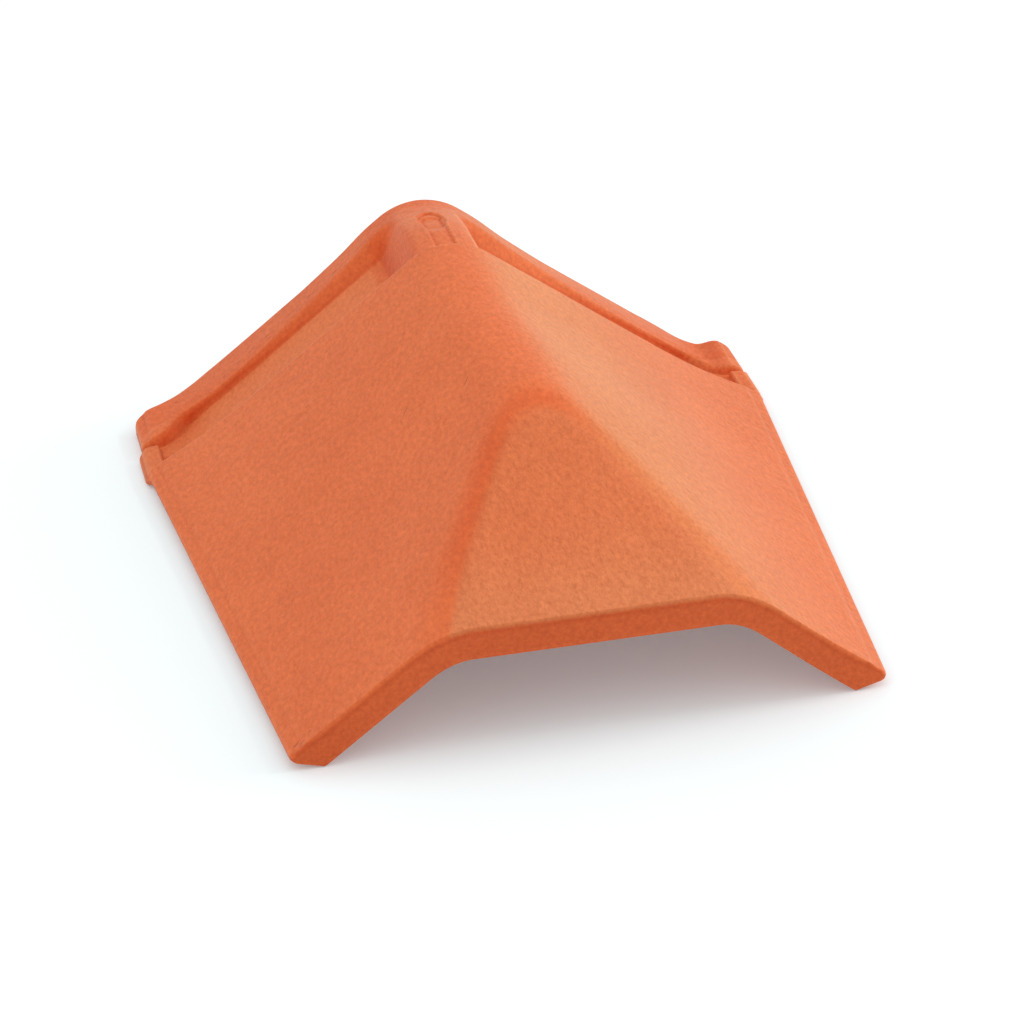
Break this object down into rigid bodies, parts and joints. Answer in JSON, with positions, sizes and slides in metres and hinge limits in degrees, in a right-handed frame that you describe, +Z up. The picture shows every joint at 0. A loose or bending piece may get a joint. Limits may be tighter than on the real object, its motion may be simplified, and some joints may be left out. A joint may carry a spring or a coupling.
{
  "type": "hip starter tile",
  "caption": "Angular fired clay hip tile with a rounded ridge, a sloping triangular facet at the nose and a stepped head with a channel, a raised rib and a nail saddle.",
  "frame": {"origin": "centre of the tile's bounding box at the ground it rests on", "axes": "+Y along the ridge towards the head, the nose and its facet face -Y, +X across the wings, +Z up"},
  "size_m": [0.2936, 0.365, 0.1007],
  "materials": {
    "fired_clay": "unglazed, matt"
  },
  "bodies": {
    "root": {"hip_starter_tile": "fired_clay"}
  },
  "joints": []
}
